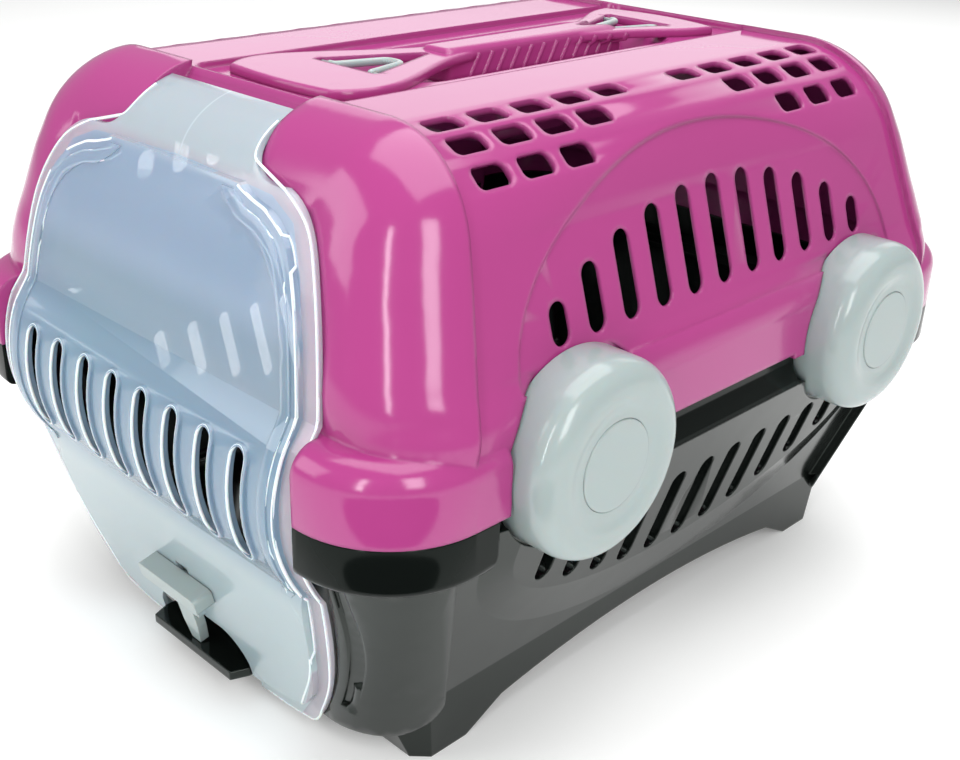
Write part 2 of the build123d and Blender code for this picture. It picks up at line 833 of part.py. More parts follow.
def tub():
    outer = tapered_tub(tub_bottom_z, ledge_z, 0, 0, tub_corner_radius)
    outer = fillet(outer.faces().sort_by(Axis.Z)[0].edges(), tub_edge_radius)
    for sign in (-1, 1):
        outer -= panel_recess(sign)
    band = belt(bumper_half_width, bumper_half_length, bumper_corner_radius, band_bottom_z, seam_z)
    band = fillet(band.faces().sort_by(Axis.Z)[0].edges(), 5)
    outer += band & band_zone()
    upright = belt(ledge_wall_x, tub_half_depth(ledge_z), 44, ledge_z - 8, lip_top_z)
    outer += upright & middle_zone(band_end_y + shell_wall, 0, seam_z - fit_gap)
    outer += upright & middle_zone(band_end_y - band_step - 1, 0, side_seam_z - fit_gap)
    outer += upright & middle_zone(lock_y - lock_radius - 8, 0, 400)
    outer += shelf()
    solid_form = outer

    floor_z = tub_bottom_z + shell_wall
    side_inset = column_proud + field_depth + shell_wall
    end_inset = groove_depth + shell_wall
    cavity = tapered_tub(floor_z, ledge_z - shell_wall, side_inset, end_inset, tub_corner_radius - 6)
    cavity = fillet(cavity.faces().sort_by(Axis.Z)[0].edges(), tub_edge_radius - 4)
    cavity += belt(ledge_wall_x - shell_wall, tub_half_depth(ledge_z) - 4, 41, ledge_z - 10, lip_top_z + 5)
    hollow = belt(
        bumper_half_width - shell_wall,
        bumper_half_length - shell_wall,
        bumper_corner_radius - shell_wall,
        band_bottom_z + shell_wall,
        seam_z + 20,
    )
    cavity += hollow & end_zones(band_end_y + shell_wall, 0, 400)
    cavity -= door_zone(door_wall + door_gap + shell_wall, door_gap + shell_wall)
    shell = outer - cavity

    lip_out = bumper_half_width - shell_wall - fit_gap
    lip_long = bumper_half_length - shell_wall - fit_gap
    lip_corner = bumper_corner_radius - shell_wall - fit_gap
    inner_lip = belt(lip_out, lip_long, lip_corner, seam_z - 14, side_seam_z)
    inner_lip += belt(lip_out + 1, lip_long + 1, lip_corner + 1, seam_z - 14, seam_z - 1)
    inner_lip -= belt(lip_out - shell_wall, lip_long - shell_wall, lip_corner - shell_wall, 0, 300)
    shell += (inner_lip & end_zones(band_end_y + 1, 0, 400)) - door_zone(
        door_wall + door_gap + shell_wall, door_gap + shell_wall
    )

    backing = None
    for sign_x, sign_y in lock_places():
        piece = at_lock(lock_backing(), sign_x, sign_y)
        backing = piece if backing is None else backing + piece
    shell += backing & solid_form
    shell += (feet_and_skirt() + column_feet()) - (cavity & middle_zone(400, floor_z, 300))
    shell += catch_lip()
    shell -= column_groove()

    shell -= door_zone(door_wall + door_gap, door_gap) - catch_lip()
    opening = closed_face(
        Polyline(
            (-tub_opening_half_width, 220),
            (-tub_opening_half_width, 115),
            (-tub_opening_low_half_width, tub_opening_bottom_z),
            (tub_opening_low_half_width, tub_opening_bottom_z),
            (tub_opening_half_width, 115),
            (tub_opening_half_width, 220),
            close=True,
        )
    )
    shell -= xz_prism(opening, -bumper_half_length - 50, -bumper_half_length + 90)
    shell -= Pos(0, -220, 56) * Box(28, 60, 26)
    for sign_x, sign_y in lock_places():
        shell -= at_lock(lock_well(), sign_x, sign_y)
        shell += at_lock(lug_ledge(), sign_x, sign_y)
    bottoms = [lower_slot_bottom_z + lower_slot_rise * step**2 for step in slot_steps()]
    shell -= side_slots([(bottom, lower_slot_top_z) for bottom in bottoms], 120, 220)
    return shell


def ring_sector(inner, outer, half_angle, x_from, x_to):
    # A piece of a ring about the X axis, its middle straight down
    ring = x_cylinder(outer, x_from, x_to, 0, 0) - x_cylinder(inner, x_from - 1, x_to + 1, 0, 0)
    reach = outer * 2
    spread = reach * math.tan(math.radians(half_angle))
    wedge = make_face(Polyline((0, 0), (-spread, -reach), (spread, -reach), close=True))
    return ring & yz_prism(wedge, x_from, x_to)


def lug_ledge():
    return ring_sector(
        ledge_inner_radius, ledge_outer_radius, ledge_half_angle_deg, lock_well_x - 1, lock_well_x + 8
    )


def panel_plane():
    # On the door's lower panel: x across, y up along the panel, z out of it
    outward = Vector(0, -1, -panel_lean)
    return Plane(origin=(0, panel_y(0) - field_rise, 0), x_dir=(1, 0, 0), z_dir=outward)


def on_panel(face, out_from, out_to):
    return panel_plane() * extrude(Plane.XY.offset(out_from) * face, amount=out_to - out_from)


def panel_box(x_from, x_to, up_from, up_to, out_from, out_to):
    face = Pos((x_from + x_to) / 2, (up_from + up_to) / 2) * Rectangle(x_to - x_from, up_to - up_from)
    return on_panel(face, out_from, out_to)


def latch_tip_up():
    # Height of the latch tip measured along the panel, just above the catch lip
    stretch = math.hypot(1, panel_lean)
    return (lip_z + latch_tip_gap) * stretch + (latch_tongue_depth + 1) * panel_lean


def door_field(inset):
    # The door's outline moved inward, and cut off level below the neck
    reach = 400.0
    top_z = field_top_z - inset
    below = Pos(0, top_z - reach / 2) * Rectangle(2 * reach, reach)
    return xz_prism(door_outline(-field_inset - inset) & below, -bumper_half_length - 60, -100)


def door_bead():
    # A flat bead round the window and the slots
    far = bumper_half_length + 60
    outer = xz_prism(door_outline(-bead_inset), -far, -100)
    bead = outer - xz_prism(door_outline(-bead_inset - bead_width), -far, -100)
    height = bead_head_z - bead_foot_z
    bead &= Pos(0, 0, bead_foot_z + height / 2) * Box(400, 900, height)
    return bead & door_layer(-field_rise - bead_height, -field_rise + door_wall / 2)


def door():
    # A flat flange all round, and inside it a field that stands forward
    far = bumper_half_length + 60
    plate = door_layer(0, door_wall) & xz_prism(door_outline(), -far, -100)
    plate -= door_field(door_wall)
    plate += door_layer(-field_rise, door_wall) & (door_field(0) - door_field(door_wall))
    plate += door_layer(-field_rise, -field_rise + door_wall) & door_field(0)
    plate += door_bead()
    rim_half = door_slot_width / 2 + door_slot_rim
    rims = door_slots(
        rim_half, door_slot_bottom_z - door_slot_rim, door_slot_top_z + door_slot_rim, -far, -100
    )
    layer = door_layer(-field_rise - door_slot_rim_height, -field_rise + door_wall / 2)
    for rim in rims:
        plate += rim & layer
    for slot in door_slots(door_slot_width / 2, door_slot_bottom_z, door_slot_top_z, -far, -100):
        plate -= slot

    for sign in (-1, 1):
        end = sign * tongue_half_width
        ear = sorted((end - sign * hinge_ear_width, end))
        plate += x_cylinder(hinge_pin_radius + 2.4, ear[0], ear[1], hinge_y, hinge_z)
        pin = sorted((end - sign * hinge_ear_width, end + sign * hinge_pin_length))
        plate += x_cylinder(hinge_pin_radius, pin[0], pin[1], hinge_y, hinge_z)

    half = lip_half_width + notch_gap
    notch = closed_face(
        Line((-half, -20), (-half, lip_z + 4)),
        ThreePointArc((-half, lip_z + 4), (-half + 6, notch_top_z - 6), (-half + 18, notch_top_z)),
        Line((-half + 18, notch_top_z), (half - 18, notch_top_z)),
        ThreePointArc((half - 18, notch_top_z), (half - 6, notch_top_z - 6), (half, lip_z + 4)),
        Line((half, lip_z + 4), (half, -20)),
        Line((half, -20), (-half, -20)),
    )
    plate -= xz_prism(notch, -far, -150)
    stem = latch_stem_half_width + latch_gap
    plate -= panel_box(
        -stem, stem, latch_stem_low - latch_gap, latch_stem_high + latch_travel + latch_gap, -10, 10
    )
    for sign in (-1, 1):
        inner = sign * (latch_tongue_half_width + latch_gap)
        guide = sorted((inner, inner + sign * latch_guide_width))
        plate += panel_box(guide[0], guide[1], notch_top_z + 5, latch_bar_low - 1, -1, latch_tongue_depth)
    return plate


def latch_slider():
    tip = latch_tip_up()
    shoulder = tip + 13
    face = make_face(
        Polyline(
            (-latch_tip_half_width, tip),
            (-latch_tongue_half_width + 1, shoulder),
            (-latch_tongue_half_width, latch_bar_low + 2),
            (latch_tongue_half_width, latch_bar_low + 2),
            (latch_tongue_half_width - 1, shoulder),
            (latch_tip_half_width, tip),
            close=True,
        )
    )
    slider = on_panel(face, latch_gap, latch_tongue_depth + 1)
    bar = Pos(0, latch_bar_low + latch_bar_height / 2) * RectangleRounded(
        2 * latch_bar_half_width, latch_bar_height, 2.5
    )
    slider += on_panel(bar, latch_gap, latch_bar_depth)
    half = latch_stem_half_width
    back = -door_wall - latch_gap
    slider += panel_box(-half, half, latch_stem_low, latch_stem_high, back - 1, latch_gap + 1)
    slider += panel_box(-half - 4, half + 4, latch_stem_low - 3, latch_stem_high + 3, back - 2, back)
    return slider


def lock_wheel():
    # Turned about X: shaft, web, hub seat, dish and a deep rounded rim
    shaft = lock_shaft_radius
    seat_x = hub_face_x - hub_cap_thickness
    recess = hub_radius + 0.2
    inner_end = lock_well_x - lock_boss_length
    rim_inner = lock_radius - lock_rim_wall
    crest = lock_crest_radius
    edge_x = lock_edge_x
    outline = closed_face(
        Line((inner_end, 0), (seat_x, 0)),
        Line((seat_x, 0), (seat_x, recess)),
        Line((seat_x, recess), (hub_face_x - 0.6, recess)),
        Line((hub_face_x - 0.6, recess), (hub_face_x - 0.6, recess + 1.4)),
        Spline(
            (hub_face_x - 0.6, recess + 1.4),
            (hub_face_x - 0.1, recess + 6),
            (lock_face_x, crest),
            tangents=[(-0.1, 1), (0, 1)],
        ),
        Spline((lock_face_x, crest), (204.6, 45.0), (edge_x, lock_radius), tangents=[(0, 1), (-1, 0)]),
        Line((edge_x, lock_radius), (lock_back_x, lock_radius)),
        Line((lock_back_x, lock_radius), (lock_back_x, rim_inner)),
        Line((lock_back_x, rim_inner), (edge_x, rim_inner)),
        Line((edge_x, rim_inner), (seat_x - 4, crest)),
        Line((seat_x - 4, crest), (seat_x - 4, shaft)),
        Line((seat_x - 4, shaft), (inner_end, shaft)),
        Line((inner_end, shaft), (inner_end, 0)),
    )
    wheel = revolve(outline, Axis.X)
    wheel -= x_cylinder(screw_radius, inner_end - 1, inner_end + 22, 0, 0)
    lug_x = (lock_well_x + 1.2, seat_x - 3)
    return wheel + ring_sector(lug_inner_radius, lug_outer_radius, lug_half_angle_deg, *lug_x)


def hub_cap():
    cap = x_cylinder(hub_radius, hub_face_x - hub_cap_thickness, hub_face_x, 0, 0)
    return fillet(cap.edges().sort_by(Axis.X)[-1], 0.8)


def lock_washer():
    face = lock_well_x - lock_boss_length
    washer = x_cylinder(washer_radius, face - washer_thickness, face, 0, 0)
    return washer - x_cylinder(screw_radius + 0.2, face - 10, face + 10, 0, 0)


def lock_screw():
    face = lock_well_x - lock_boss_length - washer_thickness
    head = x_cylinder(screw_head_radius, face - screw_head_height, face, 0, 0)
    head = fillet(head.edges().sort_by(Axis.X)[0], 1.0)
    shank = x_cylinder(screw_radius - 0.05, face, face + washer_thickness + 16, 0, 0)
    cross = Pos(face - screw_head_height, 0, 0) * (Box(3, 5, 1) + Box(3, 1, 5))
    return head + shank - cross


def handle():
    right = [(half_width, y) for half_width, y in handle_line]
    left = [(-half_width, y) for half_width, y in reversed(handle_line)]
    outline = closed_face(
        Spline(*right),
        ThreePointArc(right[-1], (0, handle_rear_y), left[0]),
        Spline(*left),
        ThreePointArc(left[-1], (0, handle_front_y), right[0]),
    )
    plate = xy_prism(outline, plateau_z, handle_top_z)
    plate = fillet(plate.faces().sort_by(Axis.Z)[-1].edges(), 1.6)
    grip_length = grip_rear_y - grip_front_y
    grip = Pos(0, (grip_front_y + grip_rear_y) / 2, (grip_bottom_z + grip_top_z) / 2) * Box(
        2 * grip_half_width, grip_length, grip_top_z - grip_bottom_z
    )
    grip = fillet(grip.edges().filter_by(Axis.Y), 4.5)
    grip = fillet(grip.edges().group_by(Axis.Y)[0], 3)
    grip = fillet(grip.edges().group_by(Axis.Y)[-1], 3)
    body = plate + grip
    for front in (True, False):
        body -= ring_hole(front)
        pin_y, pin_z, _ = ring_axis(front)
        reach = ring_half_width + ring_foot_length + ring_pin_length + 0.5
        body -= x_cylinder(ring_pin_radius + ring_pin_clearance, -reach, reach, pin_y, pin_z)
    body -= screw_holes(handle_screw_places(), screw_radius, plateau_z - 1, handle_top_z - 1.6)
    return body


def ring_axis(front):
    base = ring_hole_front_y + 5.5 if front else ring_hole_rear_y - 5.5
    return base, (plateau_z + handle_top_z) / 2, 1 if front else -1


def ring_hole(front):
    base = ring_hole_front_y if front else ring_hole_rear_y
    apex = ring_hole_apex_y if front else ring_hole_rear_apex_y
    corners = [(-ring_hole_base, base), (ring_hole_base, base), (2, apex), (-2, apex)]
    face = make_face(Polyline(*corners, close=True))
    face = fillet(face.vertices(), 1.9)
    return xy_prism(face, plateau_z - 2, grip_top_z + 2)


def strap_ring(front):
    # A bent rod: two feet in line, two sides and a blunt tip, with a thinner pin on each foot
    y, z, along = ring_axis(front)
    foot = ring_half_width + ring_foot_length
    path = FilletPolyline(
        (-foot, 0),
        (-ring_half_width, 0),
        (-ring_tip_half_width, along * ring_length),
        (ring_tip_half_width, along * ring_length),
        (ring_half_width, 0),
        (foot, 0),
        radius=[3.5, 5.5, 5.5, 3.5],
    )
    start = Plane(origin=(-foot, 0, 0), z_dir=(1, 0, 0))
    ring = sweep(start * Circle(ring_tube_radius), path=path)
    for sign in (-1, 1):
        ends = sorted((sign * (foot - 1), sign * (foot + ring_pin_length)))
        ring += x_cylinder(ring_pin_radius, ends[0], ends[1], 0, 0)
    return Pos(0, y, z) * ring


def handle_screws():
    screws = []
    for x, y in handle_screw_places():
        under = plateau_z - shell_wall
        head = Pos(x, y, under - screw_head_height / 2) * Cylinder(screw_head_radius, screw_head_height)
        shank_length = handle_top_z - 2 - under
        shank = Pos(x, y, under + shank_length / 2) * Cylinder(screw_radius - 0.05, shank_length)
        screws.append(head + shank)
    return Compound(screws)


def main():
    os.makedirs("parts", exist_ok=True)
    nodes = {
        "upper_hood": hood(),
        "lower_tub": tub(),
        "front_door": door(),
        "latch_slider": latch_slider(),
        "carry_handle": handle(),
        "handle_screws": handle_screws(),
        "front_strap_ring": strap_ring(True),
        "rear_strap_ring": strap_ring(False),
    }
    made = {
        "lock_wheel": lock_wheel(),
        "hub_cap": hub_cap(),
        "lock_washer": lock_washer(),
        "lock_screw": lock_screw(),
    }
    for sign_x, sign_y in lock_places():
        place = ("front" if sign_y < 0 else "rear") + "_" + ("right" if sign_x > 0 else "left")
        for name, solid in made.items():
            nodes[f"{place}_{name}"] = at_lock(solid, sign_x, sign_y)
    for name, solid in nodes.items():
        export_step(solid, f"parts/{name}.step")


if __name__ == "__main__":
    main()
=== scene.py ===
import json
import math

import bmesh
import bpy
from mathutils import Matrix, Vector


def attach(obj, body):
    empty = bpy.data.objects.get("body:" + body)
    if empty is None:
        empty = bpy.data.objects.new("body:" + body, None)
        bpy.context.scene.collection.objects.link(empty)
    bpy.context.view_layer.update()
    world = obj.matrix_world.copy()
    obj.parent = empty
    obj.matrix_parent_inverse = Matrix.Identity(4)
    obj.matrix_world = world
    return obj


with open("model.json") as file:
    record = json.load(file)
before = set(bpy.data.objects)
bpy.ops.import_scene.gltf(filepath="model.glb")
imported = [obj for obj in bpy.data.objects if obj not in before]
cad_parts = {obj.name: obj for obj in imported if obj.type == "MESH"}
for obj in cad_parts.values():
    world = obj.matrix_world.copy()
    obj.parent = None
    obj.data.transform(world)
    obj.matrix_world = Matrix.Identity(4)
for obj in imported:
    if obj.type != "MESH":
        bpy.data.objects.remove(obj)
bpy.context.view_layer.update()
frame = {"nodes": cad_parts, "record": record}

nodes = frame["nodes"]
mm = 0.001
print("frame loaded:", len(nodes), "nodes")


def linearColour(hexColour):
    # an sRGB hex value as the linear red, green, blue and alpha that a socket takes
    channels = [int(hexColour[i:i + 2], 16) / 255 for i in (1, 3, 5)]
    return [c / 12.92 if c <= 0.04045 else ((c + 0.055) / 1.055) ** 2.4 for c in channels] + [1.0]


def addNode(tree, kind, settings=None, inputs=None):
    # one node with its settings; an input takes a value or is linked from another node's output
    node = tree.nodes.new(kind)
    for name, value in (settings or {}).items():
        setattr(node, name, value)
    for socket, value in (inputs or {}).items():
        if isinstance(value, bpy.types.NodeSocket):
            tree.links.new(value, node.inputs[socket])
        else:
            node.inputs[socket].default_value = value
    return node


smooth = {"interpolation_type": "SMOOTHSTEP"}
colourMix = {"first": 6, "second": 7, "result": 2}  # where a Mix node keeps its colour sockets

doorCover = {
    # how much each zone hides of what is behind it, 0 to 1
    "flange": 0.4, "window": 0.6, "band": 0.74, "panel": 0.84, "tongue": 0.72,
    "windowColour": "#9CB2CB", "panelColour": "#A8BABF",
    "flangeColour": "#D8D2DE", "tongueColour": "#B6C2CA",
    # heights in metres over which one zone turns into the next, and the width of the flange's edge
    "panelTop": (0.1, 0.13), "bandTop": (0.196, 0.21), "paleWindow": (0.228, 0.248),
    "tongueFoot": (0.288, 0.3), "flangeEdge": (0.0, 0.001),
    # the raised field's half width over its height, as shares of the two sizes in reach
    "reach": (0.15, 0.33),
    "field": [(0.0, 0.49), (0.036, 0.53), (0.085, 0.61), (0.188, 0.723), (0.35, 0.8), (0.606, 0.8),
              (0.72, 0.76), (0.8, 0.703), (0.86, 0.617), (0.885, 0.48), (0.89, 0.0), (1.0, 0.0)],
}


def fieldHalfWidth(tree, height):
    # half the width of the door's raised field at a height
    fullWidth, fullHeight = doorCover["reach"]
    share = addNode(tree, "ShaderNodeMath", {"operation": "DIVIDE"}, {0: height, 1: fullHeight})
    curve = addNode(tree, "ShaderNodeFloatCurve", inputs={"Value": share.outputs["Value"]})
    line = curve.mapping.curves[0]
    for point in doorCover["field"][1:-1]:
        line.points.new(*point)
    line.points[0].location = doorCover["field"][0]
    line.points[len(line.points) - 1].location = doorCover["field"][-1]
    for point in line.points:
        point.handle_type = "VECTOR"
    curve.mapping.update()
    half = addNode(tree, "ShaderNodeMath", {"operation": "MULTIPLY"}, {
        0: curve.outputs["Value"], 1: fullWidth})
    return half.outputs["Value"]


def doorZones(tree, spot, tint, shader):
    # the door hides little on its thin flange and more down to its thick lower panel
    height = spot.outputs["Z"]
    across = addNode(tree, "ShaderNodeMath", {"operation": "ABSOLUTE"}, {0: spot.outputs["X"]})
    beyond = addNode(tree, "ShaderNodeMath", {"operation": "SUBTRACT"}, {
        0: across.outputs["Value"], 1: fieldHalfWidth(tree, height)})
    zones = {}
    for zone, value, edge, low, high in (
            ("outside", beyond.outputs["Value"], "flangeEdge", 0.0, 1.0),
            ("upper", height, "bandTop", doorCover["band"], doorCover["window"]),
            ("lower", height, "panelTop", doorCover["panel"] - doorCover["band"], 0.0),
            ("tongue", height, "tongueFoot", 0.0, 1.0),
            ("panel", height, "panelTop", 1.0, 0.0),
            ("window", height, "paleWindow", 0.0, 1.0)):
        start, end = doorCover[edge]
        step = addNode(tree, "ShaderNodeMapRange", smooth, {
            "Value": value, "From Min": start, "From Max": end, "To Min": low, "To Max": high})
        zones[zone] = step.outputs["Result"]
    sums = {}
    for name, operation, first, second in (
            ("field", "ADD", "upper", "lower"),
            ("thinner", "SUBTRACT", doorCover["flange"], "field"),
            ("thin", "MULTIPLY", "outside", "thinner"),
            ("cloudy", "MULTIPLY", "tongue", doorCover["tongue"] - doorCover["flange"]),
            ("wall", "ADD", "field", "thin"),
            ("cover", "ADD", "wall", "cloudy")):
        known = {**zones, **sums}
        both = addNode(tree, "ShaderNodeMath", {"operation": operation}, {
            0: known.get(first, first), 1: known.get(second, second)})
        sums[name] = both.outputs["Value"]
    tree.links.new(sums["cover"], shader.inputs["Alpha"])
    colour = tint
    for zone, zoneColour in (("window", "windowColour"), ("panel", "panelColour"),
                             ("outside", "flangeColour"), ("tongue", "tongueColour")):
        blend = addNode(tree, "ShaderNodeMix", {"data_type": "RGBA"}, {
            "Factor": zones[zone], colourMix["first"]: colour,
            colourMix["second"]: linearColour(doorCover[zoneColour])})
        colour = blend.outputs[colourMix["result"]]
    tree.links.new(colour, shader.inputs["Base Color"])


paintedBandShade = {  # painted shade: specular levels, and the heights and the length in metres where the shine drops to darken the band
    "level": 0.14, "usual": 0.5,
    "low": (0.137, 0.139), "ends": (0.17, 0.174), "high": (0.1535, 0.1545),
}


def paintedBandShadeNodes(tree, spot, shader):
    # painted shade: the band at both ends and the rim under the hood get a lower specular level
    # than the rest of the tub, standing in for the shadow under the hood
    along = addNode(tree, "ShaderNodeMath", {"operation": "ABSOLUTE"}, {0: spot.outputs["Y"]})
    steps = {}
    for edge, value in (("low", spot.outputs["Z"]), ("ends", along.outputs["Value"]),
                        ("high", spot.outputs["Z"])):
        start, end = paintedBandShade[edge]
        steps[edge] = addNode(tree, "ShaderNodeMapRange", smooth, {
            "Value": value, "From Min": start, "From Max": end}).outputs["Result"]
    ends = addNode(tree, "ShaderNodeMath", {"operation": "MULTIPLY"}, {
        0: steps["low"], 1: steps["ends"]})
    both = addNode(tree, "ShaderNodeMath", {"operation": "MAXIMUM"}, {
        0: ends.outputs["Value"], 1: steps["high"]})
    level = addNode(tree, "ShaderNodeMapRange", smooth, {
        "Value": both.outputs["Value"], "To Min": paintedBandShade["usual"], "To Max": paintedBandShade["level"]})
    tree.links.new(level.outputs["Result"], shader.inputs["Specular IOR Level"])


skin = {"roughnessSpread": (0.8, 1.25), "waveStrength": 0.35, "edgeSamples": 6}


def mouldedPlastic(name, plastic):
    # injection moulded plastic: an even glossy skin, faintly wavy, with a slight drift of colour
    material = bpy.data.materials.new(name)
    material.use_nodes = True
    tree = material.node_tree
    tree.nodes.clear()
    place = addNode(tree, "ShaderNodeTexCoord").outputs["Object"]
    spot = addNode(tree, "ShaderNodeSeparateXYZ", inputs={"Vector": place})
    drift, wave, grain = (
        addNode(tree, "ShaderNodeTexNoise", inputs={
            "Vector": place, "Scale": 1 / plastic[size], "Detail": detail}).outputs["Fac"]
        for size, detail in (("driftSize", 2.0), ("waveSize", 1.0), ("grainSize", 2.0)))
    tint = addNode(tree, "ShaderNodeMix", {"data_type": "RGBA"}, {
        "Factor": drift, colourMix["first"]: linearColour(plastic["colour"]),
        colourMix["second"]: linearColour(plastic["driftColour"])}).outputs[colourMix["result"]]
    least, most = skin["roughnessSpread"]
    rough = addNode(tree, "ShaderNodeMapRange", inputs={
        "Value": grain, "To Min": plastic["roughness"] * least,
        "To Max": plastic["roughness"] * most})
    soft = addNode(tree, "ShaderNodeBevel", {"samples": skin["edgeSamples"]}, {
        "Radius": plastic["softEdge"]})
    bend = addNode(tree, "ShaderNodeBump", inputs={
        "Strength": skin["waveStrength"], "Distance": plastic["waveHeight"], "Height": wave,
        "Normal": soft.outputs["Normal"]})
    shader = addNode(tree, "ShaderNodeBsdfPrincipled", inputs={
        "Base Color": tint, "Roughness": rough.outputs["Result"], "Normal": bend.outputs["Normal"],
        "IOR": plastic["ior"]})
    for socket, value in plastic.get("depth", {}).items():
        shader.inputs[socket].default_value = value
    if plastic.get("sheen"):
        shader.inputs["Specular Tint"].default_value = linearColour(plastic["sheen"])
    if plastic.get("doorZones"):
        doorZones(tree, spot, tint, shader)
    # painted shade: a lower specular level on the tub's band under the hood
    if plastic.get("paintedShadeBand"):
        paintedBandShadeNodes(tree, spot, shader)
    addNode(tree, "ShaderNodeOutputMaterial", inputs={"Surface": shader.outputs["BSDF"]})
    return material


# drift: patches of a second colour, wave: slow unevenness of the skin, grain: fine change of gloss,
# softEdge: the radius that edges show, depth: how far light gets into the plastic
plastics = {
    "pinkPolypropyleneMoulded": {  # a polished mould gives the dense magenta pigment its wet gloss
        "colour": "#A63C7E", "driftColour": "#A03878", "driftSize": 120 * mm,
        "roughness": 0.13, "ior": 1.49, "waveSize": 35 * mm, "waveHeight": 0.5 * mm,
        "grainSize": 1.5 * mm, "softEdge": 3 * mm,
    },
    "charcoalPolypropyleneMoulded": {  # carbon black, glossy, with a trace of green in its shine
        "colour": "#0C0F0E", "driftColour": "#101412", "driftSize": 100 * mm,
        "roughness": 0.12, "ior": 1.5, "waveSize": 30 * mm, "waveHeight": 0.5 * mm,
        # the last entry below paints shade: a lower shine on the tub's band under the hood
        "grainSize": 1.5 * mm, "softEdge": 1.5 * mm, "sheen": "#E4F0E8", "paintedShadeBand": True,
    },
    "coolWhitePolypropyleneMoulded": {  # a cloudy white that lets a little light in
        "colour": "#A0ACAC", "driftColour": "#98A5A3", "driftSize": 80 * mm,
        "roughness": 0.16, "ior": 1.49, "waveSize": 30 * mm, "waveHeight": 0.4 * mm,
        "grainSize": 1.5 * mm, "softEdge": 0.6 * mm,
        "depth": {"Subsurface Weight": 0.2, "Subsurface Scale": 4 * mm},
    },
    "milkyClearPolypropyleneMoulded": {  # no pigment: a cloudy blue depth under a polished skin
        "colour": "#82A1B3", "driftColour": "#869BB4", "driftSize": 90 * mm,
        "roughness": 0.2, "ior": 1.49, "waveSize": 30 * mm, "waveHeight": 0.4 * mm,
        "grainSize": 1.5 * mm, "softEdge": 0.6 * mm,
        "depth": {"Subsurface Weight": 0.15, "Subsurface Scale": 3 * mm,
                  "Coat Weight": 0.6, "Coat Roughness": 0.04},
        "doorZones": True,
    },
    "milkyClearPaintedHighlight": {  # the same plastic made near white: a painted highlight for the beads that stand in for light caught along the door's edges, ridges and slot rims
        "colour": "#E6EEF0", "driftColour": "#DDE7EC", "driftSize": 50 * mm,
        "roughness": 0.2, "ior": 1.49, "waveSize": 20 * mm, "waveHeight": 0.2 * mm,
        "grainSize": 1.5 * mm, "softEdge": 0.6 * mm,
        "depth": {"Subsurface Weight": 0.4, "Subsurface Scale": 2 * mm},
    },
    "greyNylonMoulded": {  # plain nylon from a matt mould, which looks satin
        "colour": "#9A9C9C", "driftColour": "#949696", "driftSize": 20 * mm,
        "roughness": 0.4, "ior": 1.53, "waveSize": 10 * mm, "waveHeight": 0.2 * mm,
        "grainSize": 1 * mm, "softEdge": 0.6 * mm,
    },
}
materials = {name: mouldedPlastic(name, plastic) for name, plastic in plastics.items()}

plating = {"colour": "#C9C9C4", "cloudSize": 5 / 3 * mm, "cloudDetail": 2.0,
           "roughness": (0.25, 0.42)}


def platedSteel():
    # zinc plated wire and screws: pale metal, with small clouds that blur the shine
    material = bpy.data.materials.new("zincPlatedSteel")
    material.use_nodes = True
    tree = material.node_tree
    tree.nodes.clear()
    place = addNode(tree, "ShaderNodeTexCoord").outputs["Object"]
    cloud = addNode(tree, "ShaderNodeTexNoise", inputs={
        "Vector": place, "Scale": 1 / plating["cloudSize"], "Detail": plating["cloudDetail"]})
    least, most = plating["roughness"]
    rough = addNode(tree, "ShaderNodeMapRange", inputs={
        "Value": cloud.outputs["Fac"], "To Min": least, "To Max": most})
    shader = addNode(tree, "ShaderNodeBsdfPrincipled", inputs={
        "Base Color": linearColour(plating["colour"]), "Metallic": 1.0,
        "Roughness": rough.outputs["Result"]})
    addNode(tree, "ShaderNodeOutputMaterial", inputs={"Surface": shader.outputs["BSDF"]})
    return material


materials["zincPlatedSteel"] = platedSteel()
slotFinish = {
    "hood_plastic": "pinkPolypropyleneMoulded",
    "tub_plastic": "charcoalPolypropyleneMoulded",
    "door_plastic": "milkyClearPolypropyleneMoulded",
    "white_plastic": "coolWhitePolypropyleneMoulded",
    "washer_plastic": "greyNylonMoulded",
    "screw_steel": "zincPlatedSteel",
}
mouldEdge = {"seam": 1e-6, "radius": 0.8 * mm, "segments": 2, "angle": 35}  # angle in degrees

for part in frame["record"]["subparts"]:
    node = nodes[part["node"]]
    node.data.materials.clear()
    node.data.materials.append(materials[slotFinish[part["material_slot"]]])
    weld = node.modifiers.new("weld", "WELD")
    weld.merge_threshold = mouldEdge["seam"]
    soften = node.modifiers.new("softEdge", "BEVEL")
    soften.width = mouldEdge["radius"]
    soften.segments = mouldEdge["segments"]
    soften.limit_method = "ANGLE"
    soften.angle_limit = math.radians(mouldEdge["angle"])
print("materials and soft edges on", len(nodes), "nodes")


beadProfile = {"resolution": 2}


def roundBead(name, points, radius, body, finish, closed=False):
    # a thin round bead along a line of points in metres, made a mesh
    data = bpy.data.curves.new(name, "CURVE")
    data.dimensions = "3D"
    data.bevel_depth = radius
    data.bevel_resolution = beadProfile["resolution"]
    data.use_fill_caps = True
    line = data.splines.new("POLY")
    line.points.add(len(points) - 1)
    for spot, point in zip(line.points, points):
        spot.co = (*point, 1)
    line.use_cyclic_u = closed
    draft = bpy.data.objects.new(name + "Draft", data)
    bpy.context.scene.collection.objects.link(draft)
    bpy.context.view_layer.update()
    depsgraph = bpy.context.evaluated_depsgraph_get()
    mesh = bpy.data.meshes.new_from_object(draft.evaluated_get(depsgraph))
    bpy.data.objects.remove(draft)
    mesh.name = name
    mesh.materials.clear()
    mesh.materials.append(materials[finish])
    mesh.shade_smooth()
    piece = bpy.data.objects.new(name, mesh)
    bpy.context.scene.collection.objects.link(piece)
    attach(piece, body)
    return piece


def bothSides(points):
    # the line and its mirror image on the other side of the carrier
    return {"Right": points, "Left": [Vector((-p.x, p.y, p.z)) for p in points]}


